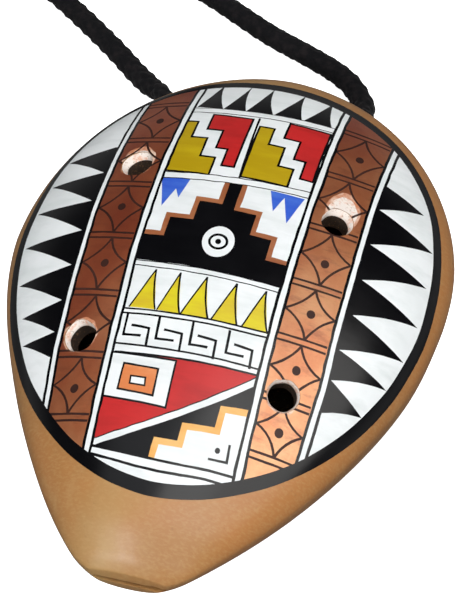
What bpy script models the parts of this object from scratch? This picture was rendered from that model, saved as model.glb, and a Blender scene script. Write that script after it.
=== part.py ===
"""Clay pendant ocarina: a flattened egg-shaped vessel flute with its neck cord.

The painted face looks up (+Z), the mouthpiece points to -Y and the back rests on Z = 0.
The vessel is two clay half shells, a mouthpiece split along its windway, a labium wedge
and two cord lugs. The neck cord is tied to the lugs and lies behind the head, its spare
length wound into one coil of doubled cord with a knot on top.
"""

import math

import bmesh
import bpy
from mathutils import Matrix, Vector

MM = 0.001

# --- vessel -------------------------------------------------------------------------
HALF_LENGTH = 50 * MM
WIDEST_Y = 7 * MM  # station where the vessel is widest and deepest
HALF_WIDTH = 37.5 * MM
SEAM_Z = 17.5 * MM  # parting height of the two half shells above the rest face
FACE_RISE = 0.40  # crown height over the seam, as a share of the local half width
BACK_DROP = 0.485  # depth under the seam, as a share of the local half width
FACE_ROUNDNESS = 1.85  # superellipse exponents of the cross-section
BACK_ROUNDNESS = 2.15
BACK_END = HALF_LENGTH - WIDEST_Y  # the head behind the widest station is half an ellipse
TAPER_LENGTH = 62 * MM  # the taper would close to nothing this far before the widest station
TAPER_START_POWER = 1.63
TAPER_END_POWER = 0.83
WALL = 4.2 * MM
CHAMBER_FRONT_Y = -29 * MM

GAP = 0.3 * MM  # clearance between neighbouring pieces
OVERCUT = 2 * MM  # how far a cutter runs past what it cuts

# --- mouthpiece ---------------------------------------------------------------------
MOUTH_Y = -HALF_LENGTH
BLOCK_END_Y = -31 * MM  # where the mouthpiece block meets the half shells
WINDWAY_HEIGHT = 1.0 * MM
WINDWAY_WIDTH_MOUTH = 10.4 * MM
WINDWAY_WIDTH_EXIT = 9.6 * MM
WINDWAY_MOUTH_Z = 16.4 * MM
WINDWAY_EXIT_Z = 8.9 * MM
WINDOW_WIDTH = 10.3 * MM
WINDOW_LENGTH = 6.5 * MM  # from the windway's exit to the labium's edge
WINDOW_TOP_Z = 12.5 * MM  # the window's pocket opens into the chamber below this height
LABIUM_LENGTH = 7.2 * MM
LABIUM_EDGE = 0.3 * MM

# --- holes --------------------------------------------------------------------------
# x and y of each hole's centre, and its diameter
FINGER_HOLES = (
    (-18.0 * MM, 18.5 * MM, 5.4 * MM),
    (17.5 * MM, 14.5 * MM, 5.0 * MM),
    (-17.8 * MM, -15.0 * MM, 5.0 * MM),
    (16.5 * MM, -18.0 * MM, 4.8 * MM),
)
THUMB_HOLES = (
    (-16.0 * MM, 2.0 * MM, 6.0 * MM),
    (16.0 * MM, 2.0 * MM, 6.0 * MM),
)

# --- cord lugs ----------------------------------------------------------------------
LUG_X = 15 * MM
LUG_Z = 10 * MM
LUG_DROOP = math.radians(20)  # how far each lug leans below the horizontal
LUG_ARCH = 4.3 * MM
LUG_STANDOFF = 2.8 * MM
LUG_LIMB = 1.9 * MM  # radius of the clay roll the lug is bent from
LUG_ROOT = 6 * MM  # how far each end runs into the shell before it is cut flush

# --- cord ---------------------------------------------------------------------------
CORD = 3.5 * MM
TIE_LOOP = 4.2 * MM  # radius of the cord loop round a lug
TIE_KNOT = (3.4 * MM, 3.6 * MM, 3.1 * MM)  # half sizes: along the pull, across, up
TIE_REACH = 6.4 * MM  # from the lug's limb to the middle of the tie knot
LEFT_PULL = (-0.80, 0.55, -0.24)
RIGHT_PULL = (-0.52, 0.80, -0.28)
COIL_CENTRE = (-62 * MM, 107 * MM)
COIL_OUTER = 22.9 * MM  # middle of the outer turns
COIL_INNER = 19.2 * MM  # middle of the inner turns
COIL_LAYER = 3.55 * MM
COIL_LAYERS = 2
END_KNOT_ANGLE = math.radians(294)
END_KNOT = (6.0 * MM, 5.2 * MM, 3.4 * MM)  # half sizes: along the turns, across, up
LYING = 1.8 * MM  # height of the cord's middle where it lies on the surface

# Each free strand from its tie knot to the coil, on the surface the ocarina rests on.
LEFT_ROUTE = (
    (-26.4 * MM, 54.1 * MM, 5.1 * MM),
    (-29.5 * MM, 56.7 * MM, 3.6 * MM),
    (-33.1 * MM, 60.1 * MM, 2.3 * MM),
    (-37.0 * MM, 63.6 * MM, LYING),
    (-41.2 * MM, 67.0 * MM, LYING),
    (-47.0 * MM, 71.1 * MM, LYING),
    (-53.4 * MM, 75.5 * MM, LYING),
    (-60.3 * MM, 80.2 * MM, LYING),
)
RIGHT_ROUTE = (
    (12.9 * MM, 56.7 * MM, 4.6 * MM),
    (11.7 * MM, 59.1 * MM, 3.3 * MM),
    (10.6 * MM, 61.4 * MM, 2.2 * MM),
    (9.3 * MM, 63.7 * MM, LYING),
    (7.1 * MM, 66.6 * MM, LYING),
    (3.6 * MM, 69.2 * MM, LYING),
    (-2.2 * MM, 71.8 * MM, LYING),
    (-11.5 * MM, 75.6 * MM, LYING),
    (-23.9 * MM, 81.6 * MM, LYING),
    (-33.0 * MM, 85.6 * MM, LYING),
    (-42.5 * MM, 88.1 * MM, LYING),
)

# --- fineness of the solids ------------------------------------------------------------
SHARP_ANGLE = math.radians(40)
RING_POINTS = 40  # points round a cross-section of the vessel
VESSEL_STATIONS = (22, 12)  # cross-sections before and behind the widest station
CHAMBER_STATIONS = (12, 8)
ROD_SIDES = 24
LUG_STEPS = 14
LUG_SIDES = 14
LOOP_STEPS = (20, 8)  # round the tie's loop, and round its cord
KNOT_STEPS = (16, 10)
CURVE_STEPS = 24  # between two points of a cord's route
COIL_STEPS = 48
CORD_SPACING = 2 * CORD  # between the points of a free strand


def clear_scene():
    for obj in list(bpy.data.objects):
        bpy.data.objects.remove(obj, do_unlink=True)


def clay(name, colour, roughness):
    """A plain material with one colour and roughness."""
    material = bpy.data.materials.new(name)
    material.use_nodes = True
    shader = material.node_tree.nodes["Principled BSDF"]
    shader.inputs["Base Color"].default_value = (*colour, 1)
    shader.inputs["Roughness"].default_value = roughness
    shader.inputs["Metallic"].default_value = 0
    return material


def add_object(name, data):
    obj = bpy.data.objects.new(name, data)
    bpy.context.scene.collection.objects.link(obj)
    return obj


def object_from(mesh_edit, name, material=None):
    """Turns a bmesh into a smooth-shaded object and frees the bmesh."""
    bmesh.ops.recalc_face_normals(mesh_edit, faces=mesh_edit.faces)
    mesh = bpy.data.meshes.new(name)
    mesh_edit.to_mesh(mesh)
    mesh_edit.free()
    mesh.shade_smooth()
    mesh.set_sharp_from_angle(angle=SHARP_ANGLE)
    if material:
        mesh.materials.append(material)
    return add_object(name, mesh)


def as_cutter(obj):
    obj.hide_render = True
    obj.display_type = "WIRE"
    return obj


def cut(obj, other, operation="DIFFERENCE"):
    modifier = obj.modifiers.new(f"{operation.lower()} {other.name}", "BOOLEAN")
    modifier.operation = operation
    modifier.object = other
    modifier.solver = "EXACT"


# --- the vessel's shape ---------------------------------------------------------------


def half_width(y, inset=0.0):
    """Half width of the vessel at station y, or of its hollow, inset from the outside."""
    along = y - WIDEST_Y
    if along >= 0:
        reach = BACK_END - inset
        return (HALF_WIDTH - inset) * math.sqrt(max(0.0, 1 - (along / reach) ** 2))
    share = -along / TAPER_LENGTH
    return HALF_WIDTH * (1 - share**TAPER_START_POWER) ** TAPER_END_POWER - inset


def half_height(y, share, inset=0.0):
    """Height over the seam (or depth under it) at station y, on the centre line."""
    if y >= WIDEST_Y:
        slope = (share * HALF_WIDTH - inset) / (HALF_WIDTH - inset)
        return slope * half_width(y, inset)
    return share * half_width(y) - inset


def section(y, inset):
    """Points round the vessel's cross-section at y, inset from the outside."""
    width = half_width(y, inset)
    rise = half_height(y, FACE_RISE, inset)
    drop = half_height(y, BACK_DROP, inset)
    points = []
    for step in range(RING_POINTS):
        angle = 2 * math.pi * step / RING_POINTS
        across, up = math.cos(angle), math.sin(angle)
        power, height = (2 / FACE_ROUNDNESS, rise) if up >= 0 else (2 / BACK_ROUNDNESS, drop)
        x = math.copysign(abs(across) ** power, across) * width
        z = math.copysign(abs(up) ** power, up) * height
        points.append(Vector((x, y, SEAM_Z + z)))
    return points


def vessel_solid(name, inset, front_y, station_counts):
    """A closed egg, flat at the front and coming to a point at the back."""
    front_stations, back_stations = station_counts
    back_y = HALF_LENGTH - inset
    stations = [
        front_y + (WIDEST_Y - front_y) * step / front_stations for step in range(front_stations + 1)
    ]
    stations += [
        WIDEST_Y + (back_y - WIDEST_Y) * math.sin(math.pi / 2 * step / back_stations)
        for step in range(1, back_stations)
    ]
    mesh_edit = bmesh.new()
    rings = [[mesh_edit.verts.new(point) for point in section(y, inset)] for y in stations]
    pole = mesh_edit.verts.new((0, back_y, SEAM_Z))
    for step in range(RING_POINTS):
        other = (step + 1) % RING_POINTS
        for ring, following in zip(rings, rings[1:]):
            mesh_edit.faces.new((ring[step], ring[other], following[other], following[step]))
        mesh_edit.faces.new((rings[-1][step], rings[-1][other], pole))
    mesh_edit.faces.new(rings[0])
    return object_from(mesh_edit, name)


def surface_point(x, y, is_face):
    """The point of the outer surface above or below (x, y)."""
    share, power = (FACE_RISE, FACE_ROUNDNESS) if is_face else (BACK_DROP, BACK_ROUNDNESS)
    width = half_width(y)
    height = share * width * (1 - (abs(x) / width) ** power) ** (1 / power)
    return Vector((x, y, SEAM_Z + (height if is_face else -height)))


def surface_normal(x, y, is_face):
    step = 0.2 * MM
    along_x = surface_point(x + step, y, is_face) - surface_point(x - step, y, is_face)
    along_y = surface_point(x, y + step, is_face) - surface_point(x, y - step, is_face)
    normal = along_x.cross(along_y).normalized()
    return normal if is_face else -normal


# --- simple solids ----------------------------------------------------------------------


def box(name, low, high):
    mesh_edit = bmesh.new()
    bmesh.ops.create_cube(mesh_edit, size=1)
    size = Vector(high) - Vector(low)
    middle = (Vector(high) + Vector(low)) / 2
    bmesh.ops.scale(mesh_edit, vec=size, verts=mesh_edit.verts)
    bmesh.ops.translate(mesh_edit, vec=middle, verts=mesh_edit.verts)
    return object_from(mesh_edit, name)


def prism_across(name, outline, half_widths):
    """A solid from a (y, z) outline, from -X to +X, with a half width for each point."""
    mesh_edit = bmesh.new()
    sides = []
    for side in (-1, 1):
        points = zip(outline, half_widths)
        sides.append([mesh_edit.verts.new((side * half, y, z)) for (y, z), half in points])
    left, right = sides
    mesh_edit.faces.new(left)
    mesh_edit.faces.new(reversed(right))
    for step in range(len(outline)):
        other = (step + 1) % len(outline)
        mesh_edit.faces.new((left[step], right[step], right[other], left[other]))
    return object_from(mesh_edit, name)


def rod(name, centre, direction, radius, length):
    """A round rod through centre, along direction."""
    mesh_edit = bmesh.new()
    turn = Vector(direction).to_track_quat("Z", "Y").to_matrix().to_4x4()
    bmesh.ops.create_cone(
        mesh_edit,
        cap_ends=True,
        segments=ROD_SIDES,
        radius1=radius,
        radius2=radius,
        depth=length,
        matrix=Matrix.Translation(centre) @ turn,
    )
    return object_from(mesh_edit, name)


def sweep(name, path, radius, sides, material):
    """A solid round bar of constant radius along path, with flat ends."""
    mesh_edit = bmesh.new()
    rings = []
    up = Vector((0, 0, 1))
    for index, point in enumerate(path):
        before = path[max(0, index - 1)]
        after = path[min(len(path) - 1, index + 1)]
        along = (after - before).normalized()
        side = along.cross(up)
        side = side.normalized() if side.length > 0.01 else Vector((1, 0, 0))
        up = side.cross(along).normalized()
        ring = []
        for step in range(sides):
            angle = 2 * math.pi * step / sides
            offset = side * math.cos(angle) + up * math.sin(angle)
            ring.append(mesh_edit.verts.new(point + offset * radius))
        rings.append(ring)
    for ring, following in zip(rings, rings[1:]):
        for step in range(sides):
            other = (step + 1) % sides
            mesh_edit.faces.new((ring[step], ring[other], following[other], following[step]))
    mesh_edit.faces.new(rings[0])
    mesh_edit.faces.new(rings[-1])
    return object_from(mesh_edit, name, material)


def torus(name, centre, axis, ring_radius, tube_radius, steps, material):
    ring_steps, tube_steps = steps
    mesh_edit = bmesh.new()
    turn = Vector(axis).to_track_quat("Z", "Y").to_matrix()
    rings = []
    for step in range(ring_steps):
        angle = 2 * math.pi * step / ring_steps
        outwards = Vector((math.cos(angle), math.sin(angle), 0))
        ring = []
        for tube_step in range(tube_steps):
            tube_angle = 2 * math.pi * tube_step / tube_steps
            offset = outwards * (ring_radius + tube_radius * math.cos(tube_angle))
            offset.z = tube_radius * math.sin(tube_angle)
            ring.append(mesh_edit.verts.new(Vector(centre) + turn @ offset))
        rings.append(ring)
    for step in range(ring_steps):
        ring, following = rings[step], rings[(step + 1) % ring_steps]
        for tube_step in range(tube_steps):
            other = (tube_step + 1) % tube_steps
            mesh_edit.faces.new(
                (ring[tube_step], ring[other], following[other], following[tube_step])
            )
    return object_from(mesh_edit, name, material)


def ellipsoid(name, centre, half_sizes, along, material):
    """A lump with its first half size along the given direction, its third one upwards."""
    mesh_edit = bmesh.new()
    along = Vector(along).normalized()
    across = Vector((0, 0, 1)).cross(along).normalized()
    up = along.cross(across)
    turn = Matrix((along, across, up)).transposed().to_4x4()
    around, upwards = KNOT_STEPS
    bmesh.ops.create_uvsphere(mesh_edit, u_segments=around, v_segments=upwards, radius=1)
    bmesh.ops.transform(
        mesh_edit,
        matrix=Matrix.Translation(centre) @ turn @ Matrix.Diagonal((*half_sizes, 1)),
        verts=mesh_edit.verts,
    )
    return object_from(mesh_edit, name, material)


# --- the vessel's pieces ----------------------------------------------------------------


def windway_z(y):
    """Height of the windway's middle plane at station y."""
    share = (y - MOUTH_Y) / (BLOCK_END_Y - MOUTH_Y)
    return WINDWAY_MOUTH_Z + share * (WINDWAY_EXIT_Z - WINDWAY_MOUTH_Z)


def beside_windway(name, above):
    """Everything over, or under, the mouthpiece's parting plane, in front of the shells."""
    front, back = MOUTH_Y - OVERCUT, BLOCK_END_Y - GAP / 2
    far = 3 * SEAM_Z if above else -SEAM_Z
    shift = GAP / 2 if above else -GAP / 2
    outline = (
        (front, windway_z(front) + shift),
        (back, windway_z(back) + shift),
        (back, far),
        (front, far),
    )
    return as_cutter(prism_across(name, outline, [HALF_WIDTH] * 4))


def windway_cutter():
    front, back = MOUTH_Y - OVERCUT, BLOCK_END_Y + OVERCUT
    half = WINDWAY_HEIGHT / 2
    outline = (
        (front, windway_z(front) - half),
        (back, windway_z(back) - half),
        (back, windway_z(back) + half),
        (front, windway_z(front) + half),
    )
    widths = [WINDWAY_WIDTH_MOUTH / 2, WINDWAY_WIDTH_EXIT / 2]
    widths += reversed(widths)
    return as_cutter(prism_across("windway_cutter", outline, widths))


def behind_block(name, low_z, high_z):
    """The space of one half shell, behind the mouthpiece block."""
    low = (-2 * HALF_WIDTH, BLOCK_END_Y + GAP / 2, low_z)
    high = (2 * HALF_WIDTH, 2 * HALF_LENGTH, high_z)
    return as_cutter(box(name, low, high))


def hole_cutters(name, holes, is_face):
    cutters = []
    for number, (x, y, diameter) in enumerate(holes, 1):
        centre = surface_point(x, y, is_face)
        normal = surface_normal(x, y, is_face)
        cutters.append(
            as_cutter(rod(f"{name}_{number}", centre, normal, diameter / 2, 3 * WALL))
        )
    return cutters


def make_front_shell(vessel, chamber, material):
    shell = add_object("front_shell", vessel.data.copy())
    shell.data.materials.append(material)
    cut(shell, behind_block("front_space", SEAM_Z + GAP / 2, 3 * SEAM_Z), "INTERSECT")
    cut(shell, chamber)
    for cutter in hole_cutters("finger_hole", FINGER_HOLES, is_face=True):
        cut(shell, cutter)


def make_back_shell(vessel, chamber, material):
    """The back half, with its rest face, thumb holes and the pocket of window and labium."""
    shell = add_object("back_shell", vessel.data.copy())
    shell.data.materials.append(material)
    cut(shell, behind_block("back_space", 0, SEAM_Z - GAP / 2), "INTERSECT")
    cut(shell, chamber)
    pocket_back = BLOCK_END_Y + WINDOW_LENGTH + LABIUM_LENGTH + GAP
    low = (-WINDOW_WIDTH / 2, BLOCK_END_Y - GAP, -SEAM_Z)
    high = (WINDOW_WIDTH / 2, pocket_back, WINDOW_TOP_Z)
    cut(shell, as_cutter(box("window_pocket", low, high)))
    for cutter in hole_cutters("thumb_hole", THUMB_HOLES, is_face=False):
        cut(shell, cutter)


def make_mouthpiece(vessel, material):
    windway = windway_cutter()
    for name, above in (("mouthpiece_roof", True), ("windway_floor", False)):
        piece = add_object(name, vessel.data.copy())
        piece.data.materials.append(material)
        cut(piece, beside_windway(f"{name}_space", above), "INTERSECT")
        cut(piece, windway)


def make_labium(vessel, material):
    """The wedge that splits the air jet, set in the back shell's pocket."""
    edge_y = BLOCK_END_Y + WINDOW_LENGTH
    back_y = edge_y + LABIUM_LENGTH
    edge_z = windway_z(edge_y)
    outside_z = surface_point(0, back_y, is_face=False).z
    outline = (
        (edge_y, edge_z),
        (back_y, outside_z),
        (back_y, outside_z + WALL),
        (edge_y, edge_z + LABIUM_EDGE),
    )
    half = WINDOW_WIDTH / 2 - GAP
    labium = prism_across("labium", outline, [half] * 4)
    labium.data.materials.append(material)
    cut(labium, vessel, "INTERSECT")


# --- lugs and cord ----------------------------------------------------------------------


def lug_frame(side):
    """(root on the shell, direction the lug points, direction up along its roll)."""
    drop = SEAM_Z - LUG_Z
    # The section whose surface passes through (LUG_X, LUG_Z) has this half width.
    power = BACK_ROUNDNESS
    width = (LUG_X**power + (drop / BACK_DROP) ** power) ** (1 / power)
    y = WIDEST_Y + BACK_END * math.sqrt(1 - (width / HALF_WIDTH) ** 2)
    root = Vector((side * LUG_X, y, LUG_Z))
    level = Vector((side * LUG_X / HALF_WIDTH**2, (y - WIDEST_Y) / BACK_END**2, 0)).normalized()
    outwards = level * math.cos(LUG_DROOP) - Vector((0, 0, math.sin(LUG_DROOP)))
    upwards = level * math.sin(LUG_DROOP) + Vector((0, 0, math.cos(LUG_DROOP)))
    return root, outwards, upwards


def lug_limb(side):
    """Middle of the lug's outermost stretch, which the cord loops round."""
    root, outwards, _ = lug_frame(side)
    return root + outwards * (LUG_STANDOFF + LUG_ARCH)


def make_lug(name, side, clearance, material):
    """A roll of clay bent into an arch, both ends pressed on the back shell."""
    root, outwards, upwards = lug_frame(side)
    centre = root + outwards * LUG_STANDOFF
    arch = []
    for step in range(LUG_STEPS + 1):
        angle = math.pi * (step / LUG_STEPS - 0.5)
        arch.append(
            centre + (outwards * math.cos(angle) + upwards * math.sin(angle)) * LUG_ARCH
        )
    path = [arch[0] - outwards * LUG_ROOT, *arch, arch[-1] - outwards * LUG_ROOT]
    lug = sweep(name, path, LUG_LIMB, LUG_SIDES, material)
    cut(lug, clearance)


def make_tie(name, side, pull, material):
    """The cord's loop round a lug and the knot that closes it."""
    limb = lug_limb(side)
    _, _, upwards = lug_frame(side)
    pull = Vector(pull).normalized()
    axis = (upwards - pull * upwards.dot(pull)).normalized()
    loop = torus(name, limb, axis, TIE_LOOP, CORD / 2, LOOP_STEPS, material)
    knot = ellipsoid(f"{name}_knot", limb + pull * TIE_REACH, TIE_KNOT, pull, material)
    cut(loop, as_cutter(knot), "UNION")


def smooth_path(points, spacing):
    """Points about this far apart along a smooth curve through the given points."""
    points = [Vector(point) for point in points]
    padded = [2 * points[0] - points[1], *points, 2 * points[-1] - points[-2]]
    fine = []
    for first, start, end, last in zip(padded, padded[1:], padded[2:], padded[3:]):
        for step in range(CURVE_STEPS):
            t = step / CURVE_STEPS
            fine.append(
                0.5
                * (
                    2 * start
                    + (end - first) * t
                    + (2 * first - 5 * start + 4 * end - last) * t**2
                    + (3 * start - first - 3 * end + last) * t**3
                )
            )
    fine.append(points[-1])
    lengths = [0.0]
    for before, after in zip(fine, fine[1:]):
        lengths.append(lengths[-1] + (after - before).length)
    count = max(2, round(lengths[-1] / spacing))
    path, index = [], 0
    for step in range(count + 1):
        target = lengths[-1] * step / count
        while index < len(fine) - 2 and lengths[index + 1] < target:
            index += 1
        span = lengths[index + 1] - lengths[index]
        share = (target - lengths[index]) / span
        path.append(fine[index].lerp(fine[index + 1], share))
    return path


def make_cord(name, route, material):
    """A free strand as a curve with a round bevel and filled ends."""
    curve = bpy.data.curves.new(name, "CURVE")
    curve.dimensions = "3D"
    curve.bevel_depth = CORD / 2
    curve.bevel_resolution = 2
    curve.use_fill_caps = True
    path = smooth_path(route, CORD_SPACING)
    spline = curve.splines.new("POLY")
    spline.points.add(len(path) - 1)
    for point, place in zip(spline.points, path):
        point.co = (*place, 1)
    spline.use_smooth = True
    curve.materials.append(material)
    add_object(name, curve)


def make_coil(material):
    """The outer shape of the wound cord, as one turned ring. Returns the height of its top."""
    inner = COIL_INNER - CORD / 2
    outer = COIL_OUTER + CORD / 2
    low = LYING - CORD / 2
    high = LYING + COIL_LAYER * (COIL_LAYERS - 1) + CORD / 2
    corner = CORD / 4
    profile = (
        (inner, low + corner),
        (inner + corner, low),
        (outer - corner, low),
        (outer, low + corner),
        (outer, high - corner),
        (outer - corner, high),
        (inner + corner, high),
        (inner, high - corner),
    )
    mesh_edit = bmesh.new()
    rings = []
    for step in range(COIL_STEPS):
        angle = 2 * math.pi * step / COIL_STEPS
        across = Vector((math.cos(angle), math.sin(angle), 0))
        ring = []
        for radius, z in profile:
            place = Vector((*COIL_CENTRE, z)) + across * radius
            ring.append(mesh_edit.verts.new(place))
        rings.append(ring)
    for step in range(COIL_STEPS):
        ring, following = rings[step], rings[(step + 1) % COIL_STEPS]
        for index in range(len(profile)):
            other = (index + 1) % len(profile)
            mesh_edit.faces.new((ring[index], ring[other], following[other], following[index]))
    object_from(mesh_edit, "cord_coil", material)
    return high


def make_end_knot(coil_top, material):
    """The knot that joins the two strands, resting on the coil."""
    radius = (COIL_INNER + COIL_OUTER) / 2
    across = Vector((math.cos(END_KNOT_ANGLE), math.sin(END_KNOT_ANGLE), 0))
    centre = Vector((*COIL_CENTRE, coil_top + GAP + END_KNOT[2])) + across * radius
    along = Vector((0, 0, 1)).cross(across)
    ellipsoid("cord_knot", centre, END_KNOT, along, material)


def build():
    clear_scene()
    painted = clay("painted_clay", (0.83, 0.82, 0.80), 0.45)
    bare = clay("bare_clay", (0.55, 0.35, 0.17), 0.5)
    cord = clay("black_cord", (0.012, 0.012, 0.014), 0.85)

    vessel = as_cutter(vessel_solid("vessel", 0, MOUTH_Y, VESSEL_STATIONS))
    clearance = as_cutter(vessel_solid("vessel_clearance", -GAP, MOUTH_Y, VESSEL_STATIONS))
    chamber = as_cutter(vessel_solid("chamber", WALL, CHAMBER_FRONT_Y, CHAMBER_STATIONS))

    make_front_shell(vessel, chamber, painted)
    make_back_shell(vessel, chamber, bare)
    make_mouthpiece(vessel, bare)
    make_labium(vessel, bare)
    for name, side, pull in (("left", -1, LEFT_PULL), ("right", 1, RIGHT_PULL)):
        make_lug(f"cord_lug_{name}", side, clearance, bare)
        make_tie(f"cord_tie_{name}", side, pull, cord)
    make_cord("neck_cord_left", LEFT_ROUTE, cord)
    make_cord("neck_cord_right", RIGHT_ROUTE, cord)
    coil_top = make_coil(cord)
    make_end_knot(coil_top, cord)


build()
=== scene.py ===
"""The looks of a hand-painted clay pendant ocarina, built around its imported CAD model.

Everything is in the CAD's frame: the painted face looks up (+Z), the mouthpiece points to
-Y and the back rests on Z = 0. Lengths are metres, except that the painted pattern is
designed in millimetres on the plan view of the face, as (x, y), and then laid on it.
"""

import math

import bpy
import numpy as np
from mathutils import Matrix, Vector, geometry, noise


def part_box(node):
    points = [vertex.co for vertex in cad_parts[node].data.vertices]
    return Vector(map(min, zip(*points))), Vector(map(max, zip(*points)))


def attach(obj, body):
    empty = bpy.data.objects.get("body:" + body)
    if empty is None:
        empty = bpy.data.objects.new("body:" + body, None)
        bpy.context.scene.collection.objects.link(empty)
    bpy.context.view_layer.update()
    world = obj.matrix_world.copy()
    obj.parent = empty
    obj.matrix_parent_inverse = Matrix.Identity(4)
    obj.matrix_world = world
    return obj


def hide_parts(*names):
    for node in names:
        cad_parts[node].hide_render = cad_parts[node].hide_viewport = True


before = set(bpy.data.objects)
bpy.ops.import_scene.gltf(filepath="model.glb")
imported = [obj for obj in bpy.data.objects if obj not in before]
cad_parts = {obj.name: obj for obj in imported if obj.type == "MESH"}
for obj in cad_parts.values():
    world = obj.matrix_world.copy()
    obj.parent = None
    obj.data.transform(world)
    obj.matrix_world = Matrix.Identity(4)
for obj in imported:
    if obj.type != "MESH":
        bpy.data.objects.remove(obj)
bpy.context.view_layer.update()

MM = 0.001
UP = Vector((0, 0, 1))
noise.seed_set(7)  # noise_vector takes its three offsets from this seed

# --- the vessel's shape, as the CAD has it ------------------------------------------------
HALF_WIDTH = 37.5 * MM
WIDEST_Y = 7 * MM
SEAM_Z = 17.5 * MM
MOUTH_Y = -50 * MM
HEAD_Y = 50 * MM
FACE_RISE, FACE_ROUNDNESS = 0.40, 1.85
BACK_DROP, BACK_ROUNDNESS = 0.485, 2.15
TAPER_LENGTH = 62 * MM
TAPER_START_POWER, TAPER_END_POWER = 1.63, 0.83
WALL = 4.2 * MM
CHAMBER_FRONT_Y = -29 * MM
BLOCK_END_Y = -31 * MM
WINDWAY_MOUTH_Z, WINDWAY_EXIT_Z = 16.4 * MM, 8.9 * MM

# --- what the fine surface adds -----------------------------------------------------------
TIP_ROUND = 2.6 * MM  # the mouthpiece's end is rounded over this length
TIP_NARROW = 0.16  # and drawn in by this share of its width
TIP_FACE_THIN, TIP_BACK_THIN = 0.30, 0.12  # and by these shares of its rise and its drop
TIP_SLANT, SLANT_LENGTH = 0.20, 3 * MM  # the upper lip is set back, so that the slit shows
TIP_BEVEL, BEVEL_LENGTH = 0.58, 9 * MM  # the face slopes down to the upper lip
# where the hand-built flanks swell or sink: side, amount, y of the middle, spread along y
FLANKS = ((-1, 1.25 * MM, -46 * MM, 11 * MM), (-1, -0.30 * MM, -18 * MM, 9 * MM),
          (1, -0.75 * MM, 4 * MM, 9 * MM))
SKIN = 0.07 * MM  # how far the paint stands proud
# in mm: half the air slot's width and height, what its torn mouth adds to each, and how deep
# its dug end is and where that is
SLOT_HALF_WIDTH, SLOT_HALF_HEIGHT = 5.15, 0.42
SLOT_FLARE, SLOT_GAPE, SLOT_DUG, SLOT_DUG_X = 1.0, 0.04, 0.45, 4.2

# x, y and diameter of each hole in mm, then how far its worn mouth leans (x, y)
FINGER_HOLES = (
    (-17.8, 18.3, 4.9, (-0.7, 0.6)),
    (17.0, 13.6, 4.7, (0.3, 0.5)),
    (-17.5, -15.3, 4.9, (-0.4, 0.3)),
    (16.4, -18.2, 4.7, (0.0, 0.0)),
)
THUMB_HOLES = ((-16.0, 2.0, 6.0, (0.0, 0.0)), (16.0, 2.0, 6.0, (0.0, 0.0)))
HOLE_STEPS = 56  # points round a hole

# --- the cord, as the CAD has it -----------------------------------------------------------
CORD = 3.5 * MM
LYING = 2.1  # height in mm of the middle line of a strand that lies on the floor
BARREL_RADIUS = 1.6 * MM  # of the middle line of the cord where it winds round itself
# the coil in mm: its middle, the radius of each strand's turns and the height of a layer
COIL_CENTRE = (-62.0, 107.0)
COIL_OUTER, COIL_INNER, COIL_LAYER = 22.9, 19.2, 3.55
COIL_END = ((758, 8.85), (769, 9.3))  # degrees and heights at which a strand meets the knot
END_KNOT_ANGLE = 294  # degrees round the coil
# middle lines of the strands in mm, from the lug to the start of the coil
LEFT_ROUTE = (
    (-26.8, 53.8, 5.0), (-30.0, 56.4, 3.6), (-33.7, 59.7, 2.4), (-37.7, 63.2, LYING),
    (-42.0, 66.6, LYING), (-47.8, 70.9, LYING), (-54.2, 75.4, LYING), (-61.3, 79.9, LYING),
    (-68.2, 84.3, LYING),
)
RIGHT_ROUTE = (
    (11.7, 56.4, 4.6), (11.0, 58.8, 3.3), (10.5, 61.0, 2.4), (9.2, 63.2, LYING),
    (7.0, 65.9, LYING), (3.3, 68.5, LYING), (-2.4, 71.2, LYING), (-11.8, 75.2, LYING),
    (-23.9, 81.6, LYING), (-33.0, 85.6, LYING), (-42.5, 88.1, LYING), (-52.0, 88.8, LYING),
)

# --- colours, linear --------------------------------------------------------------------
CLAY_TAN = (0.425, 0.262, 0.100)
CLAY_ORANGE = (0.41, 0.175, 0.053)
# darker brown for the painted shade on the vessel's left flank
CLAY_LEFT_SHADE = (0.34, 0.170, 0.058)
CLAY_DARK = (0.27, 0.135, 0.048)
CLAY_PALE = (0.48, 0.300, 0.125)
RAW_CLAY = (0.80, 0.72, 0.66)
RAW_CLAY_PINK = (0.70, 0.38, 0.25)
# near black: painted shade for the chamber's inside and the deep part of the bores
CHAMBER_SHADE_COLOUR = (0.030, 0.017, 0.010)
# the copper paint as it looks in shade and where the light falls on it, for a painted shade and a
# painted highlight
COPPER_SHADED_REDS = (0.46, 0.085, 0.028), (0.62, 0.16, 0.055)
COPPER_LIT_GOLDS = (0.82, 0.29, 0.095), (0.97, 0.53, 0.25)
COPPER_STROKE = (0.36, 0.065, 0.022)
WORN_COPPER, WORN_PALE = (0.52, 0.20, 0.10), (0.76, 0.56, 0.43)
YARN_BLACK, YARN_FADED = (0.004, 0.004, 0.005), (0.014, 0.011, 0.012)


# --- mesh helpers --------------------------------------------------------------------------


def object_from(name, points, faces, materials=()):
    mesh = bpy.data.meshes.new(name)
    mesh.from_pydata([tuple(p) for p in points], [], faces)
    for material in materials:
        mesh.materials.append(material)
    mesh.shade_smooth()
    obj = bpy.data.objects.new(name, mesh)
    bpy.context.scene.collection.objects.link(obj)
    return obj


def loft(name, rings, materials=()):
    """A closed solid through rings of as many points each, with a flat cap at each end."""
    rings = np.asarray(rings, float)
    count, around = rings.shape[:2]
    faces = [
        (row * around + step, row * around + (step + 1) % around,
         (row + 1) * around + (step + 1) % around, (row + 1) * around + step)
        for row in range(count - 1)
        for step in range(around)
    ]
    faces.append(tuple(reversed(range(around))))
    faces.append(tuple(range((count - 1) * around, count * around)))
    obj = object_from(name, rings.reshape(-1, 3), faces, materials)
    turn_outwards(obj.data)
    return obj


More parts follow.
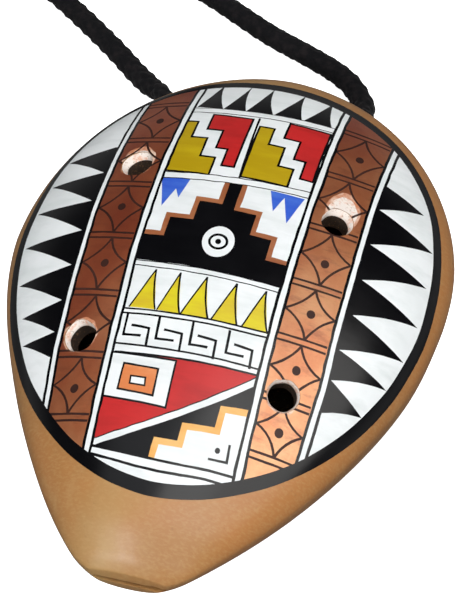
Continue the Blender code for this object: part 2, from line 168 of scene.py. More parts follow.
def turn_outwards(mesh):
    """Flips a closed mesh whose faces point in."""
    mesh.calc_loop_triangles()
    points = np.array([v.co for v in mesh.vertices])
    corners = points[np.array([t.vertices for t in mesh.loop_triangles])]
    volume = np.einsum("ij,ij->i", corners[:, 0], np.cross(corners[:, 1], corners[:, 2])).sum()
    if volume < 0:
        mesh.flip_normals()


def box(name, low, high, materials=()):
    (x0, y0, z0), (x1, y1, z1) = low, high
    rings = [[(x0, y0, z), (x1, y0, z), (x1, y1, z), (x0, y1, z)] for z in (z0, z1)]
    return loft(name, rings, materials)


def cut(obj, cutter, operation="DIFFERENCE"):
    """Cuts obj with cutter and removes the cutter. New walls take the cutter's material."""
    modifier = obj.modifiers.new("cut", "BOOLEAN")
    modifier.operation = operation
    modifier.object = cutter
    modifier.solver = "EXACT"
    modifier.material_mode = "TRANSFER"
    evaluated = obj.evaluated_get(bpy.context.evaluated_depsgraph_get())
    mesh = bpy.data.meshes.new_from_object(evaluated)
    obj.modifiers.clear()
    obj.data = mesh
    bpy.data.objects.remove(cutter, do_unlink=True)


def hand_over(piece, slot, *nodes):
    """Hides the CAD parts of the nodes that a finished piece stands for and hangs it on the root
    body; its slot is not used.
    """
    if nodes:
        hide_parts(*nodes)
    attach(piece, "root")


def copy_of(obj, name):
    twin = bpy.data.objects.new(name, obj.data.copy())
    bpy.context.scene.collection.objects.link(twin)
    return twin


def full_turn(count):
    """This many even angles round a circle."""
    return 2 * math.pi * np.arange(count) / count


def smooth_path(points, spacing):
    """Points about this far apart along a smooth curve through the given points."""
    points = [Vector(point) for point in points]
    padded = [2 * points[0] - points[1], *points, 2 * points[-1] - points[-2]]
    fine = []
    for first, start, end, last in zip(padded, padded[1:], padded[2:], padded[3:]):
        for step in range(24):
            t = step / 24
            fine.append(0.5 * (
                2 * start
                + (end - first) * t
                + (2 * first - 5 * start + 4 * end - last) * t**2
                + (3 * start - first - 3 * end + last) * t**3
            ))
    fine = np.array([*fine, points[-1]])
    lengths = np.concatenate([[0], np.cumsum(np.linalg.norm(np.diff(fine, axis=0), axis=1))])
    count = max(2, round(lengths[-1] / spacing))
    targets = np.linspace(0, lengths[-1], count + 1)
    return np.stack([np.interp(targets, lengths, fine[:, axis]) for axis in range(3)], axis=1)


def frames_along(path):
    """Unit vectors (along, side, up) at each point of a path, turning as little as they can."""
    along = np.gradient(path, axis=0)
    along /= np.linalg.norm(along, axis=1, keepdims=True)
    ups = []
    up = np.array((0.13, 0.21, 1.0))
    for direction in along:
        up = up - direction * (up @ direction)
        up /= np.linalg.norm(up)
        ups.append(up)
    ups = np.array(ups)
    return along, np.cross(along, ups), ups


# --- the vessel's surface ------------------------------------------------------------------


def half_sizes(y):
    """Half width, rise over the seam and drop under it of the vessel at y."""
    y = np.asarray(y, float)
    along = y - WIDEST_Y
    back = np.sqrt(np.clip(1 - (along / (HEAD_Y - WIDEST_Y)) ** 2, 0, 1))
    front = (1 - np.clip(-along / TAPER_LENGTH, 0, 1) ** TAPER_START_POWER) ** TAPER_END_POWER
    swell = sum(amount * np.exp(-(((y - at) / spread) ** 2)) for _, amount, at, spread in FLANKS)
    size = (HALF_WIDTH + swell / 2) * np.where(along > 0, back, front)
    into = np.clip((MOUTH_Y + TIP_ROUND - y) / TIP_ROUND, 0, 1)
    rounding = 1 - np.sqrt(1 - into**2)
    bevel = TIP_BEVEL * np.clip((MOUTH_Y + BEVEL_LENGTH - y) / BEVEL_LENGTH, 0, 1) ** 1.7
    rise = FACE_RISE * size * (1 - bevel) * (1 - TIP_FACE_THIN * rounding)
    drop = BACK_DROP * size * (1 - TIP_BACK_THIN * rounding)
    return size * (1 - TIP_NARROW * rounding), rise, drop


def lean(y):
    """Sideways shift of the vessel's middle line, which no hand builds quite straight."""
    y = np.asarray(y, float)
    return sum(
        side * amount * np.exp(-(((y - at) / spread) ** 2)) for side, amount, at, spread in FLANKS
    ) / 2


def section(y, around=160, inset=0.0):
    """Points round the vessel's cross-section at y, inset from the outside."""
    width, rise, drop = (float(size) - inset for size in half_sizes(y))
    angles = full_turn(around)
    across, up = np.cos(angles), np.sin(angles)
    is_face = up >= 0
    power = 2 / np.where(is_face, FACE_ROUNDNESS, BACK_ROUNDNESS)
    x = np.copysign(np.abs(across) ** power, across) * width + lean(y)
    z = np.copysign(np.abs(up) ** power, up) * np.where(is_face, rise, drop) + SEAM_Z
    near_tip = max(0.0, 1 - (y - MOUTH_Y) / SLANT_LENGTH) if inset == 0 else 0.0
    set_back = TIP_SLANT * near_tip**2 * np.clip(z - WINDWAY_MOUTH_Z + MM, 0, None)
    return np.stack([x, y + set_back, z], axis=1)


def surface_height(x, y, is_face=True):
    """Height of the face's or the back's surface at (x, y)."""
    width, rise, drop = half_sizes(y)
    share = np.clip(np.abs(x - lean(y)) / np.maximum(width, MM), 0, 1)
    if is_face:
        return SEAM_Z + rise * (1 - share**FACE_ROUNDNESS) ** (1 / FACE_ROUNDNESS)
    return SEAM_Z - drop * (1 - share**BACK_ROUNDNESS) ** (1 / BACK_ROUNDNESS)


def outside(points):
    """Zero on the vessel's surface, positive outside it."""
    x, y, z = points.T
    y = np.maximum(y, MOUTH_Y)
    width, rise, drop = half_sizes(np.minimum(y, WIDEST_Y))
    is_face = z >= SEAM_Z
    power = np.where(is_face, FACE_ROUNDNESS, BACK_ROUNDNESS)
    across = np.abs(x - lean(y)) / width
    up = np.abs(z - SEAM_Z) / np.where(is_face, rise, drop)
    behind = np.maximum(y - WIDEST_Y, 0) / (HEAD_Y - WIDEST_Y)
    return (across**power + up**power) ** (2 / power) + behind**2 - 1


def surface_normals(points):
    points = np.asarray(points, float)
    step = 0.02 * MM
    gradient = np.stack(
        [outside(points + step * axis) - outside(points - step * axis) for axis in np.eye(3)],
        axis=1,
    )
    return gradient / np.maximum(np.linalg.norm(gradient, axis=1, keepdims=True), 1e-9)


def use_true_normals(mesh):
    """Shades the faces that lie on the vessel's surface by the surface's own normals."""
    mesh.shade_smooth()
    mesh.set_sharp_from_angle(angle=math.radians(35))
    points = np.array([v.co for v in mesh.vertices])
    on_surface = np.abs(outside(points)) < 2e-3
    normals = surface_normals(points)
    custom = np.zeros((len(mesh.loops), 3))
    for face in mesh.polygons:
        corners = list(face.vertices)
        if on_surface[corners].all() and normals[corners[0]] @ np.array(face.normal) > 0.8:
            custom[list(face.loop_indices)] = normals[corners]
    mesh.normals_split_custom_set([tuple(n) for n in custom])


# --- materials -----------------------------------------------------------------------------


class Nodes:
    """A small helper that adds and links the nodes of one material."""

    def __init__(self, name):
        self.material = bpy.data.materials.new(name)
        self.material.use_nodes = True
        self.tree = self.material.node_tree
        self.shader = self.tree.nodes["Principled BSDF"]
        self.place = self.add("ShaderNodeTexCoord").outputs["Object"]

    def add(self, kind, **settings):
        node = self.tree.nodes.new(kind)
        for name, value in settings.items():
            setattr(node, name, value)
        return node

    def join(self, source, target):
        self.tree.links.new(source, target)

    def stretched(self, scale):
        """The surface's coordinates, scaled by (x, y, z) per metre."""
        mapping = self.add("ShaderNodeMapping")
        mapping.inputs["Scale"].default_value = scale
        self.join(self.place, mapping.inputs["Vector"])
        return mapping.outputs["Vector"]

    def noise(self, scale, detail=3.0, roughness=0.55):
        node = self.add("ShaderNodeTexNoise")
        node.inputs["Scale"].default_value = 1
        node.inputs["Detail"].default_value = detail
        node.inputs["Roughness"].default_value = roughness
        self.join(self.stretched(scale), node.inputs["Vector"])
        return node.outputs["Fac"]

    def between(self, value, low, high, least=0, most=1):
        """Spreads value's range from low to high over least to most."""
        node = self.add("ShaderNodeMapRange")
        sockets = {"From Min": low, "From Max": high, "To Min": least, "To Max": most}
        for name, number in sockets.items():
            node.inputs[name].default_value = number
        self.join(value, node.inputs["Value"])
        return node.outputs["Result"]

    def mixed(self, share, first, second):
        node = self.add("ShaderNodeMix", data_type="RGBA")
        self.join(share, node.inputs["Factor"])
        # its sockets 6 and 7 and its output 2 are the ones that carry colours
        for socket, colour in ((node.inputs[6], first), (node.inputs[7], second)):
            if isinstance(colour, tuple):
                socket.default_value = (*colour, 1)
            else:
                self.join(colour, socket)
        return node.outputs[2]

    def colour(self, output):
        self.join(output, self.shader.inputs["Base Color"])

    def gloss(self, value, smooth, rough):
        """Roughness that runs between two values with value."""
        self.join(self.between(value, 0.3, 0.7, smooth, rough), self.shader.inputs["Roughness"])

    def bump(self, heights, depth):
        """Relief of this depth in metres from one or more height values."""
        normal = None
        for height, share in heights:
            node = self.add("ShaderNodeBump")
            node.inputs["Strength"].default_value = 1
            node.inputs["Distance"].default_value = depth * share
            self.join(height, node.inputs["Height"])
            if normal is not None:
                self.join(normal, node.inputs["Normal"])
            normal = node.outputs["Normal"]
        self.join(normal, self.shader.inputs["Normal"])


def burnished_clay():
    """Tan clay, rubbed smooth with a stone: cloudy and flashed orange, with a painted shade that
    browns its left flank.
    """
    nodes = Nodes("burnished_clay")
    clouds = nodes.noise((70, 45, 70), detail=4)
    patches = nodes.noise((28, 22, 40), detail=2)
    specks = nodes.noise((1500, 1500, 1500), detail=2)
    streaks = nodes.noise((260, 60, 260), detail=3)
    weave = nodes.noise((1300, 2600, 1300), detail=4)
    split = nodes.add("ShaderNodeSeparateXYZ")
    nodes.join(nodes.place, split.inputs["Vector"])
    flashed = nodes.between(split.outputs["X"], -3 * MM, 14 * MM)
    # painted shade: the clay turns darker brown as x runs out to the left
    painted_left_shade = nodes.between(split.outputs["X"], -4 * MM, -15 * MM)
    base = nodes.mixed(flashed, CLAY_TAN, CLAY_ORANGE)
    base = nodes.mixed(painted_left_shade, base, CLAY_LEFT_SHADE)
    base = nodes.mixed(nodes.between(clouds, 0.42, 0.75), base, CLAY_ORANGE)
    base = nodes.mixed(nodes.between(patches, 0.50, 0.90), base, CLAY_DARK)
    base = nodes.mixed(nodes.between(specks, 0.66, 0.95), base, CLAY_DARK)
    base = nodes.mixed(nodes.between(weave, 0.45, 1.10), base, CLAY_PALE)
    base = nodes.mixed(nodes.between(streaks, 0.60, 0.95), base, CLAY_PALE)
    nodes.colour(base)
    nodes.gloss(streaks, 0.30, 0.44)
    nodes.bump([(clouds, 6), (streaks, 1.2), (weave, 0.5)], 0.02 * MM)
    return nodes.material


def raw_clay(name, pale, pink):
    """Unburnished clay where a tool cut or scraped it, grainy and chipped."""
    nodes = Nodes(name)
    chips = nodes.noise((620, 620, 620), detail=5, roughness=0.7)
    grain = nodes.noise((2600, 2600, 2600), detail=2)
    base = nodes.mixed(nodes.between(chips, 0.50, 0.66), pale, pink)
    nodes.colour(nodes.mixed(nodes.between(grain, 0.58, 0.80), base, CLAY_DARK))
    nodes.gloss(chips, 0.75, 0.95)
    nodes.bump([(chips, 3), (grain, 1)], 0.03 * MM)
    return nodes.material


def paint(name, tone, thin_tone, smooth=0.34, rough=0.5):
    """Brushed paint: it thins along the brush strokes, and its gloss varies."""
    nodes = Nodes(f"paint_{name}")
    strokes = nodes.noise((90, 420, 200), detail=4, roughness=0.6)
    clouds = nodes.noise((110, 110, 110), detail=3)
    base = nodes.mixed(nodes.between(strokes, 0.45, 0.75), tone, thin_tone)
    nodes.colour(nodes.mixed(nodes.between(clouds, 0.48, 0.9), base, thin_tone))
    nodes.gloss(clouds, smooth, rough)
    nodes.bump([(strokes, 1), (clouds, 2)], 0.012 * MM)
    return nodes.material


def copper_paint():
    """Metallic copper paint with fine flakes and brush streaks, red in painted shade at the upper
    left and gold in painted highlight at the lower right.
    """
    nodes = Nodes("paint_copper")
    strokes = nodes.noise((150, 520, 300), detail=5, roughness=0.65)
    flakes = nodes.noise((2400, 2400, 2400), detail=1)
    clouds = nodes.noise((140, 90, 90), detail=3)
    # painted light: from shaded red at the upper left to lit, paler gold at the lower right, where
    # the softbox's highlight falls
    across = nodes.add("ShaderNodeVectorMath", operation="DOT_PRODUCT")
    across.inputs[1].default_value = (0.8, -0.6, 0)
    nodes.join(nodes.place, across.inputs[0])
    painted_light_share = nodes.between(across.outputs["Value"], -12 * MM, 24 * MM)
    red = nodes.mixed(nodes.between(clouds, 0.35, 0.7), *COPPER_SHADED_REDS)
    gold = nodes.mixed(nodes.between(clouds, 0.35, 0.7), *COPPER_LIT_GOLDS)
    base = nodes.mixed(painted_light_share, red, gold)
    base = nodes.mixed(nodes.between(strokes, 0.54, 0.86), base, COPPER_STROKE)
    nodes.colour(base)
    nodes.shader.inputs["Metallic"].default_value = 0.85
    nodes.shader.inputs["Coat Weight"].default_value = 0.8
    nodes.shader.inputs["Coat Roughness"].default_value = 0.36
    nodes.shader.inputs["Coat IOR"].default_value = 1.9
    nodes.gloss(flakes, 0.46, 0.62)
    nodes.bump([(strokes, 4), (flakes, 2)], 0.012 * MM)
    return nodes.material


def worn_paint():
    """Copper paint scraped thin, with the pale clay showing through in places."""
    nodes = Nodes("paint_worn")
    scrapes = nodes.noise((380, 380, 380), detail=5, roughness=0.65)
    nodes.colour(nodes.mixed(nodes.between(scrapes, 0.40, 0.62), WORN_COPPER, WORN_PALE))
    nodes.gloss(scrapes, 0.5, 0.8)
    nodes.bump([(scrapes, 1)], 0.04 * MM)
    return nodes.material


def braided_yarn():
    """Black synthetic yarn: matt, with a faint sheen and slightly uneven dye."""
    nodes = Nodes("black_yarn")
    fibres = nodes.noise((5200, 5200, 5200), detail=2)
    dye = nodes.noise((700, 700, 700), detail=3)
    nodes.colour(nodes.mixed(nodes.between(dye, 0.45, 0.8), YARN_BLACK, YARN_FADED))
    nodes.gloss(fibres, 0.78, 0.95)
    nodes.shader.inputs["Sheen Weight"].default_value = 0.08
    nodes.shader.inputs["Sheen Roughness"].default_value = 0.4
    nodes.shader.inputs["Specular IOR Level"].default_value = 0.2
    nodes.bump([(fibres, 1)], 0.05 * MM)
    return nodes.material


CLAY = burnished_clay()
SCRAPED = raw_clay("scraped_clay", RAW_CLAY, RAW_CLAY_PINK)
# the chamber's inside, near black as a painted shade
SHADED_CHAMBER_CLAY = raw_clay("chamber_clay_painted_shade", CHAMBER_SHADE_COLOUR, CHAMBER_SHADE_COLOUR)
YARN = braided_yarn()
PAINTS = {
    "white": paint("white", (0.80, 0.83, 0.84), (0.66, 0.70, 0.70)),
    "black": paint("black", (0.0020, 0.0020, 0.0028), (0.0035, 0.0035, 0.0045), 0.17, 0.25),
    "yellow": paint("yellow", (0.42, 0.285, 0.003), (0.50, 0.36, 0.006)),
    "gold": paint("gold", (0.66, 0.57, 0.010), (0.56, 0.38, 0.02)),
    "red": paint("red", (0.52, 0.018, 0.018), (0.38, 0.012, 0.012)),
    "blue": paint("blue", (0.030, 0.095, 0.56), (0.07, 0.18, 0.62)),
    "copper": copper_paint(),
    "brown": paint("brown", (0.026, 0.007, 0.004), (0.05, 0.014, 0.008), 0.45, 0.6),
    "rust": paint("rust", (0.28, 0.085, 0.03), (0.38, 0.14, 0.055)),
    "orange": paint("orange", (0.66, 0.205, 0.065), (0.74, 0.30, 0.12)),
    "ochre": paint("ochre", (0.76, 0.36, 0.075), (0.83, 0.50, 0.18)),
    "worn": worn_paint(),
    "scraped": SCRAPED,
}


# --- clay pieces ---------------------------------------------------------------------------


def vessel(name, material, inset=0.0, front_y=MOUTH_Y):
    """The whole egg as one closed solid."""
    back_y = HEAD_Y - inset
    rounded = [
        front_y + TIP_ROUND * (1 - math.cos(math.pi / 2 * step / 10)) for step in range(10)
    ] if inset == 0 else [front_y]
    flank = np.linspace(rounded[-1], WIDEST_Y, 60)[1:]
    head = WIDEST_Y + (back_y - WIDEST_Y) * np.sin(math.pi / 2 * np.arange(1, 46) / 46)
    stations = [*rounded, *flank, *head, back_y - 0.01 * MM]
    rings = []
    for y in stations:
        share = (y - WIDEST_Y) / (back_y - WIDEST_Y)
        if inset and y > WIDEST_Y:
            ring = section(WIDEST_Y, inset=inset)
            ring = (ring - (0, 0, SEAM_Z)) * math.sqrt(1 - share**2) + (0, 0, SEAM_Z)
            ring[:, 1] = y
        else:
            ring = section(y, inset=inset)
        rings.append(ring)
    return loft(name, rings, [material])


def windway_z(y):
    share = (y - MOUTH_Y) / (BLOCK_END_Y - MOUTH_Y)
    return WINDWAY_MOUTH_Z + share * (WINDWAY_EXIT_Z - WINDWAY_MOUTH_Z)


def windway_cutter():
    """The flat air slot, a little torn open at its mouth and dug deeper at one end."""
    rings = []
    for y in np.linspace(MOUTH_Y - 1.5 * MM, BLOCK_END_Y + 2 * MM, 28):
        opening = math.exp(-max(0.0, y - MOUTH_Y) / (0.8 * MM))
        width = (SLOT_HALF_WIDTH + SLOT_FLARE * opening) * MM
        ring = []
        for angle in full_turn(48):
            across, up = math.cos(angle), math.sin(angle)
            x = math.copysign(abs(across) ** 0.35, across) * width
            dug = SLOT_DUG * opening * math.exp(-((x / MM - SLOT_DUG_X) / 0.9) ** 2)
            ragged = 0.10 * opening * noise.noise(Vector((x / MM * 0.9, 0, up)))
            half = (SLOT_HALF_HEIGHT + SLOT_GAPE * opening + dug + ragged) * MM
            ring.append((x, y, windway_z(y) + math.copysign(abs(up) ** 0.35, up) * half))
        rings.append(ring)
    return loft("windway_cutter", rings, [CLAY])


def hole_frame(x, y, is_face):
    """(centre on the surface, outward normal, two directions across) of a hole."""
    centre = Vector((x * MM, y * MM, float(surface_height(x * MM, y * MM, is_face))))
    normal = Vector(surface_normals([centre])[0])
    side = Vector((0, 1, 0)).cross(normal).normalized()
    return centre, normal, side, normal.cross(side)


def mouth_radius(radius, angle, seed):
    """Radius of a hole's mouth in this direction, uneven as a hand cuts it."""
    wander = noise.noise(Vector((math.cos(angle) * 1.3, math.sin(angle) * 1.3, seed)))
    return radius * (1 + 0.07 * wander)


def hole_cutter(x, y, diameter, mouth_lean, seed, is_face):
    """A bore whose mouth is scraped pale and worn wider, and cut askew."""
    centre, normal, side, up = hole_frame(x, y, is_face)
    shift = (side * mouth_lean[0] + up * mouth_lean[1]) * MM
    rings = []
    for depth in (-9.0, -1.0, -0.9, -0.7, -0.5, -0.3, -0.1, 0.0, 0.3, 1.2):
        opening = min(1.0, max(0.0, (depth + 0.9) / 0.9))
        radius = diameter / 2 + 0.34 * opening**2 + max(0.0, depth) * 0.8
        middle = centre + normal * depth * MM + shift * opening
        ring = []
        for angle in full_turn(HOLE_STEPS):
            reach = mouth_radius(radius, angle, seed) * MM
            ring.append(middle + (side * math.cos(angle) + up * math.sin(angle)) * reach)
        rings.append(ring)
    cutter = loft("hole_cutter", rings, [SHADED_CHAMBER_CLAY, SCRAPED])
    # the first run of walls and both caps take the near-black chamber colour, a painted shade deep
    # in the bore; the rest is scraped
    scraped = [len(face.vertices) == 4 and face.index >= HOLE_STEPS for face in cutter.data.polygons]
    cutter.data.polygons.foreach_set("material_index", scraped)
    return cutter


def bore(obj, holes, is_face):
    for seed, (x, y, diameter, mouth_lean) in enumerate(holes):
        cut(obj, hole_cutter(x, y, diameter, mouth_lean, seed, is_face))


def above_windway(name, above):
    """The space of the mouthpiece's roof or floor, in front of the half shells."""
    front, back = MOUTH_Y - 5 * MM, BLOCK_END_Y
    far = SEAM_Z * 3 if above else -SEAM_Z
    rings = [
        [(x, front, windway_z(front)), (x, back, windway_z(back)), (x, back, far), (x, front, far)]
        for x in (-2 * HALF_WIDTH, 2 * HALF_WIDTH)
    ]
    return loft(name, rings, [CLAY])


def clay_pieces():
    """Both half shells and both parts of the mouthpiece, meeting without a visible joint."""
    whole = vessel("vessel", CLAY)
    wide, far = 2 * HALF_WIDTH, 2 * HEAD_Y
    front = copy_of(whole, "front_shell_clay")
    cut(front, box("space", (-wide, BLOCK_END_Y, SEAM_Z), (wide, far, 3 * SEAM_Z)), "INTERSECT")
    # the hollow's walls take the near-black chamber colour, a painted shade
    cut(front, vessel("hollow", SHADED_CHAMBER_CLAY, WALL, CHAMBER_FRONT_Y))
    bore(front, FINGER_HOLES, True)

    back = copy_of(whole, "back_shell_clay")
    cut(back, box("space", (-wide, BLOCK_END_Y, 0), (wide, far, SEAM_Z)), "INTERSECT")
    # the hollow's walls take the near-black chamber colour, a painted shade
    cut(back, vessel("hollow", SHADED_CHAMBER_CLAY, WALL, CHAMBER_FRONT_Y))
    labium_low, labium_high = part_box("labium")
    gap = 0.3 * MM
    low = (labium_low.x - gap, BLOCK_END_Y - gap, -SEAM_Z)
    high = (labium_high.x + gap, labium_high.y + gap, SEAM_Z - 5 * MM)
    cut(back, box("window_pocket", low, high, [SCRAPED]))
    bore(back, THUMB_HOLES, False)

    pieces = [(front, "front_shell"), (back, "back_shell")]
    for name, above in (("mouthpiece_roof", True), ("windway_floor", False)):
        piece = copy_of(whole, f"{name}_clay")
        cut(piece, above_windway("space", above), "INTERSECT")
        cut(piece, windway_cutter())
        pieces.append((piece, name))
    bpy.data.objects.remove(whole, do_unlink=True)

    for piece, node in pieces:
        use_true_normals(piece.data)
        hand_over(piece, "painted_clay" if node == "front_shell" else "bare_clay", node)
    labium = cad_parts["labium"]
    labium.data.materials.clear()
    labium.data.materials.append(CLAY)


# --- the painted face ----------------------------------------------------------------------

# the ring round the pattern: its middle, then half width and roundness (above and below the
# middle) of its left and its right half, and its height over and under the middle
RING_CENTRE = (0.0, 4.8)
RING_HALVES = {-1: (35.35, 2.40, 1.82), 1: (35.2, 2.22, 1.87)}
RING_UP, RING_DOWN = 39.4, 43.45
RING_SIDE_WIDTH, RING_HEAD_WIDTH, RING_FOOT_WIDTH = 1.35, 2.2, 2.2

# x of each long stripe at a few stations y, from the top down
STRIPES = {
    "left_outer": ((-21.9, 45), (-22.6, 20), (-22.6, 8), (-22.1, 0), (-21.3, -17), (-19.7, -30)),
    "left_inner": ((-13.2, 45), (-13.4, 20), (-13.1, 2), (-12.1, -15), (-10.8, -38)),
    "right_inner": ((12.8, 45), (12.7, 20), (12.5, 5), (12.6, -10), (13.2, -38)),
    "right_outer": ((22.7, 45), (22.2, 20), (22.1, 0), (22.2, -15), (21.2, -30)),
}
STRIPE_WIDTHS = {"left_outer": 0.63, "left_inner": 0.78, "right_inner": 0.80, "right_outer": 0.72}
PANEL_LEFT, PANEL_RIGHT = -13.4, 12.8  # the panel's sides, under the inner stripes
INK = 0.38  # width of an ordinary drawn line
STRIPE_INK = 0.46  # and of the lines beside the long stripes
PATTERN_SHIFT = (-0.22, -0.15)  # how far off the middle the pattern was painted

# the two lines under the panel, from the left
PANEL_FOOT = (
    (-11.0, -32.3), (-6.3, -32.7), (-2.7, -32.9), (1.0, -33.0), (4.6, -32.9), (8.3, -32.6),
    (11.0, -32.4), (13.2, -32.3),
)
SLIVER_TOP = (
    (-11.0, -33.5), (-6.3, -34.1), (-2.7, -34.5), (1.0, -34.6), (4.6, -34.4), (8.3, -34.0),
    (13.2, -33.8),
)

shapes = []  # (closed outline, colour, whether it paints its inside), later ones on top


def stripe_x(name, y):
    xs, ys = zip(*STRIPES[name])
    return float(np.interp(-y, [-value for value in ys], xs))


def by_hand(points):
    """Lets an outline wander a little, by the same amount wherever lines meet."""
    moved = []
    shift_x, shift_y = PATTERN_SHIFT
    for x, y in points:
        fine = noise.noise_vector(Vector((x * 0.55, y * 0.55, 4.1)))
        broad = noise.noise_vector(Vector((x * 0.13, y * 0.13, 9.7)))
        moved.append((x + shift_x + 0.035 * fine.x + 0.10 * broad.x,
                      y + shift_y + 0.035 * fine.y + 0.10 * broad.y))
    return moved


def subdivided(points, closed, step=1.0):
    """The same outline with points at most this far apart."""
    result = []
    ends = [*points[1:], points[0]] if closed else points[1:]
    for start, end in zip(points, ends):
        start, end = np.array(start, float), np.array(end, float)
        count = max(1, math.ceil(np.linalg.norm(end - start) / step))
        result += [tuple(start + (end - start) * index / count) for index in range(count)]
    return result if closed else [*result, tuple(points[-1])]


def bowed(start, end, bow, steps=6):
    """An arc from start to end that bows to its left by this much."""
    start, end = np.array(start, float), np.array(end, float)
    chord = end - start
    left = np.array((-chord[1], chord[0])) / np.linalg.norm(chord)
    return [
        tuple(start + chord * t + left * bow * 4 * t * (1 - t))
        for t in np.linspace(0, 1, steps + 1)
    ]


def area(points, colour):
    """Paints the inside of a closed outline."""
    shapes.append((by_hand(subdivided(points, True)), colour, True))


def line(points, width=INK, colour="black", closed=False):
    """Draws a brush line along points."""
    middle = np.array(subdivided(points, closed))
    if closed:
        before, after = np.roll(middle, 1, axis=0), np.roll(middle, -1, axis=0)
    else:
        before = np.vstack([2 * middle[0] - middle[1], middle[:-1]])
        after = np.vstack([middle[1:], 2 * middle[-1] - middle[-2]])
    first, second = middle - before, after - middle
    first /= np.linalg.norm(first, axis=1, keepdims=True)
    second /= np.linalg.norm(second, axis=1, keepdims=True)
    along = first + second
    along /= np.maximum(np.linalg.norm(along, axis=1, keepdims=True), 1e-6)
    side = np.stack([-along[:, 1], along[:, 0]], axis=1)
    mitre = 1 / np.clip((along * second).sum(axis=1), 0.62, 1)
    pressure = np.array([1 + 0.18 * noise.noise(Vector((x * 0.5, y * 0.5, 1))) for x, y in middle])
    reach = side * (0.5 * width * mitre * pressure)[:, None]
    left, right = [tuple(p) for p in middle + reach], [tuple(p) for p in middle - reach]
    if closed:
        outline = [*left, left[0], right[0], *reversed(right)]
    else:
        outline = [*left, *reversed(right)]
    shapes.append((by_hand(outline), colour, True))


def outlined(points, colour, width=INK):
    area(points, colour)
    line(points, width, closed=True)


def dot(x, y, radius, colour="black", steps=14):
    area([
        (x + radius * math.cos(turn), y + radius * 1.12 * math.sin(turn))
        for turn in full_turn(steps)
    ], colour)


def blotch(x, y, half_width, half_height, colour, seed):
    """An irregular patch."""
    points = []
    for turn in full_turn(40):
        place = Vector((math.cos(turn) * 2.2, math.sin(turn) * 2.2, seed))
        reach = 1 + 0.16 * noise.noise(place)
        across, up = half_width * math.cos(turn), half_height * math.sin(turn)
        points.append((x + reach * across, y + reach * up))
    shapes.append((points, colour, True))


def ring_outline(is_inner, steps=260):
    """The outer or the inner edge of the black ring round the pattern."""
    points, widths = [], []
    for turn in full_turn(steps):
        across, up = math.cos(turn), math.sin(turn)
        half_width, up_power, down_power = RING_HALVES[1 if across >= 0 else -1]
        power, height = (up_power, RING_UP) if up >= 0 else (down_power, RING_DOWN)
        wander = 0.10 * noise.noise(Vector((across * 5, up * 5, 0)))
        x = math.copysign(abs(across) ** (2 / power), across) * (half_width + wander)
        y = math.copysign(abs(up) ** (2 / power), up) * (height + wander)
        points.append((RING_CENTRE[0] + x, RING_CENTRE[1] + y))
        end_width = RING_HEAD_WIDTH if up >= 0 else RING_FOOT_WIDTH
        uneven = 0.12 * noise.noise(Vector((across * 4, up * 4, 7)))
        widths.append(RING_SIDE_WIDTH + (end_width - RING_SIDE_WIDTH) * up**4 + uneven)
    if not is_inner:
        return points
    points = np.array(points)
    along = np.roll(points, -1, axis=0) - np.roll(points, 1, axis=0)
    along /= np.linalg.norm(along, axis=1, keepdims=True)
    inwards = np.stack([-along[:, 1], along[:, 0]], axis=1)
    return [tuple(point) for point in points + inwards * np.array(widths)[:, None]]


def side_field(stripe, side, bases, tips):
    """Black claws from a stripe to their tips; each base is (distance from the stripe, y)."""
    for (upper_reach, upper), (lower_reach, lower), point in zip(bases, bases[1:], tips):
        root_high = (stripe_x(stripe, upper) + side * upper_reach, upper)
        root_low = (stripe_x(stripe, lower) + side * lower_reach, lower)
        top = bowed(root_high, point, 0.15 if side < 0 else 0.05)
        bottom = bowed(point, root_low, 0.08 if side < 0 else -0.15)
        inner = [(stripe_x(stripe, lower), lower), (stripe_x(stripe, upper), upper)]
        area([*top, *bottom[1:], *inner], "black")


def band(left, right, dividers, dots):
    """A copper band between two stripes, with a concave diamond in each cell."""
    ys = np.linspace(46, -38, 43)
    edges = [(stripe_x(left, y), y) for y in ys] + [(stripe_x(right, y), y) for y in reversed(ys)]
    shapes.append((edges, "copper", True))
    scraped_rims(right.startswith("left"))
    for y in dividers:
        for shift in (-0.52, 0.52):
            start = (stripe_x(left, y) + 0.7, y + shift)
            end = (stripe_x(right, y) - 0.9, y + shift + 0.1)
            line((start, end), INK, "brown")
    for high, low in zip(dividers, dividers[1:]):
        middle = (high + low) / 2 + 0.2
        centre = (stripe_x(left, middle) + stripe_x(right, middle)) / 2
        top, bottom = (centre - 0.1, high - 0.6), (centre + 0.2, low + 0.6)
        west = (stripe_x(left, middle) + 0.8, middle - 0.2)
        east = (stripe_x(right, middle) - 0.8, middle + 0.2)
        for start, end, bow in (
            (top, west, 0.45), (west, bottom, 0.7), (bottom, east, 0.45), (east, top, 0.7)
        ):
            line(bowed(start, end, bow), INK, "brown")
    for y in dots:
        centre = (stripe_x(left, y) + stripe_x(right, y)) / 2
        dot(centre + 0.1, y, 0.68, "brown")


def scraped_rims(is_left):
    """Bare clay round the holes, where the edge was trimmed after painting."""
    patches = {
        True: ((-18.4, 19.6, 2.9, 3.4), (-17.9, -14.9, 2.8, 3.0)),
        False: ((17.5, 16.2, 2.8, 4.3), (16.4, -18.4, 2.6, 2.7)),
    }
    for seed, (x, y, half_width, half_height) in enumerate(patches[is_left]):
        blotch(x, y, half_width, half_height, "worn", seed + 5 * is_left)
        blotch(x, y - 0.2, half_width - 0.4, half_height - 0.8, "scraped", seed + 5 * is_left)


def teeth():
    """Row of curved black teeth at the head, standing on the first cross stripe."""
    foot, head = 34.4, 42.6
    for left, right, apex in (
        (-12.3, -7.6, -9.6), (-7.5, -3.5, -4.6), (-3.5, 1.3, -0.6), (1.3, 6.3, 5.0), (6.3, 11.5, 9.9)
    ):
        top = (apex, head)
        area([*bowed((left, foot), top, -0.3), *bowed(top, (right, foot), -0.45)[1:]], "black")


